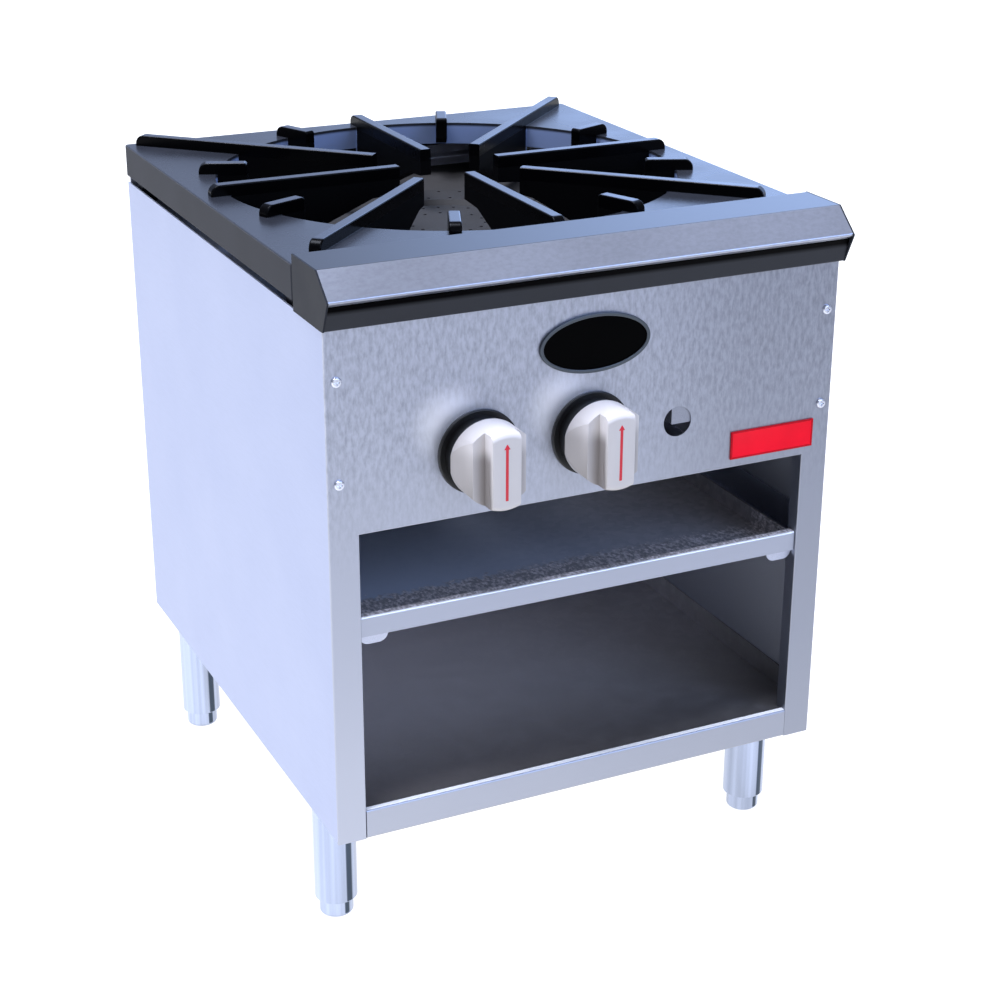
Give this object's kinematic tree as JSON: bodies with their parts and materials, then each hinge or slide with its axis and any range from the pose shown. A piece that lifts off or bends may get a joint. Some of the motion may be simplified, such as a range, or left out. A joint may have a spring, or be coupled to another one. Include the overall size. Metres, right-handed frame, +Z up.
{
  "type": "stock pot range",
  "caption": "Low free-standing gas stock pot range with a cast-iron finger grate, two knobs, a slide-out crumb tray, an open bay below and adjustable legs.",
  "frame": {"origin": "on the floor, under the middle of the whole range's box, knobs and rear gas pipe included", "axes": "+X to the right seen from the front, +Y to the back, +Z up; the knobs face -Y"},
  "size_m": [0.4612, 0.6036, 0.5965],
  "materials": {
    "stainless_side": "fine satin stainless sheet, cool and light",
    "stainless_front": "semi-gloss stainless sheet with a short vertical grain",
    "galvanised_sheet": "galvanised steel with a soft spangle",
    "aluminised_sheet": "aluminised steel, dulled brown-grey by heat",
    "black_enamel": "satin charcoal enamel",
    "grate_iron": "satin black cast iron",
    "burner_iron": "bare cast iron, heat-dulled",
    "bar_steel": "mill-finish steel bar",
    "pipe_steel": "zinc-grey gas pipe",
    "brass": "machined brass",
    "shutter_steel": "zinc-plated steel",
    "pilot_aluminium": "drawn aluminium tube",
    "black_bezel": "black phenolic",
    "ivory_knob": "ivory moulded thermoset with a red index line",
    "plate_black": "black enamelled plate, blank",
    "plate_rim": "polished rim",
    "badge_red": "red enamelled plate, blank",
    "leg_chrome": "polished steel tube",
    "foot_chrome": "polished steel foot",
    "plated_steel": "zinc-plated steel"
  },
  "bodies": {
    "cabinet": {"side_panel_left": "stainless_side", "side_panel_right": "stainless_side", "front_panel": "stainless_front", "bottom_rail": "stainless_front", "front_ledge": "stainless_front", "back_panel": "galvanised_sheet", "bottom_shelf": "galvanised_sheet", "tray_runner_left": "galvanised_sheet", "tray_runner_right": "galvanised_sheet", "manifold_bracket_left": "galvanised_sheet", "manifold_bracket_right": "galvanised_sheet", "pipe_straps": "galvanised_sheet", "burner_deck": "aluminised_sheet", "ledge_trim": "black_enamel", "ledge_end_left": "black_enamel", "ledge_end_right": "black_enamel", "outer_burner": "burner_iron", "inner_burner": "burner_iron", "burner_bar_front": "bar_steel", "burner_bar_rear": "bar_steel", "gas_manifold": "pipe_steel", "manifold_cap": "pipe_steel", "pipe_elbow": "pipe_steel", "supply_pipe": "pipe_steel", "gas_valve_outer": "brass", "gas_valve_inner": "brass", "orifice_outer": "brass", "orifice_inner": "brass", "pilot_valve": "brass", "pilot_burner": "shutter_steel", "pilot_tube": "pilot_aluminium", "knob_bezel_left": "black_bezel", "knob_bezel_right": "black_bezel", "oval_plate": "plate_black", "oval_plate_rim": "plate_rim", "badge_plate": "badge_red", "leg_front_left": "leg_chrome", "leg_front_right": "leg_chrome", "leg_rear_left": "leg_chrome", "leg_rear_right": "leg_chrome", "leg_plate_front_left": "plated_steel", "leg_plate_front_right": "plated_steel", "leg_plate_rear_left": "plated_steel", "leg_plate_rear_right": "plated_steel", "leg_screws": "plated_steel", "rear_screws": "plated_steel", "front_screws": "plated_steel"},
    "top_grate": {"top_grate": "grate_iron"},
    "crumb_tray": {"crumb_tray": "galvanised_sheet"},
    "left_knob": {"knob_left": "ivory_knob", "valve_stem_left": "shutter_steel"},
    "right_knob": {"knob_right": "ivory_knob", "valve_stem_right": "shutter_steel"},
    "outer_shutter": {"air_shutter_outer": "shutter_steel"},
    "inner_shutter": {"air_shutter_inner": "shutter_steel"},
    "front_left_foot": {"foot_front_left": "foot_chrome"},
    "front_right_foot": {"foot_front_right": "foot_chrome"},
    "rear_left_foot": {"foot_rear_left": "foot_chrome"},
    "rear_right_foot": {"foot_rear_right": "foot_chrome"}
  },
  "joints": [
    {"name": "grate_lift", "type": "slide", "parent": "cabinet", "child": "top_grate", "axis": [0, 0, 1], "range_m": [0, 0.15]},
    {"name": "tray_slide", "type": "slide", "parent": "cabinet", "child": "crumb_tray", "axis": [0, -1, 0], "range_m": [0, 0.45]},
    {"name": "left_knob_turn", "type": "hinge", "parent": "cabinet", "child": "left_knob", "pos_m": [-0.1015, -0.2798, 0.4345], "axis": [0, -1, 0], "range_deg": [0, 90]},
    {"name": "right_knob_turn", "type": "hinge", "parent": "cabinet", "child": "right_knob", "pos_m": [-0.0023, -0.2798, 0.4345], "axis": [0, -1, 0], "range_deg": [0, 90]},
    {"name": "outer_shutter_turn", "type": "hinge", "parent": "cabinet", "child": "outer_shutter", "pos_m": [-0.1015, -0.1628, 0.4345], "axis": [0, -1, 0], "range_deg": [0, 60]},
    {"name": "inner_shutter_turn", "type": "hinge", "parent": "cabinet", "child": "inner_shutter", "pos_m": [-0.0023, -0.1628, 0.4345], "axis": [0, -1, 0], "range_deg": [0, 60]},
    {"name": "front_left_foot_screw", "type": "slide", "parent": "cabinet", "child": "front_left_foot", "axis": [0, 0, -1], "range_m": [0, 0.025]},
    {"name": "front_right_foot_screw", "type": "slide", "parent": "cabinet", "child": "front_right_foot", "axis": [0, 0, -1], "range_m": [0, 0.025]},
    {"name": "rear_left_foot_screw", "type": "slide", "parent": "cabinet", "child": "rear_left_foot", "axis": [0, 0, -1], "range_m": [0, 0.025]},
    {"name": "rear_right_foot_screw", "type": "slide", "parent": "cabinet", "child": "rear_right_foot", "axis": [0, 0, -1], "range_m": [0, 0.025]}
  ]
}
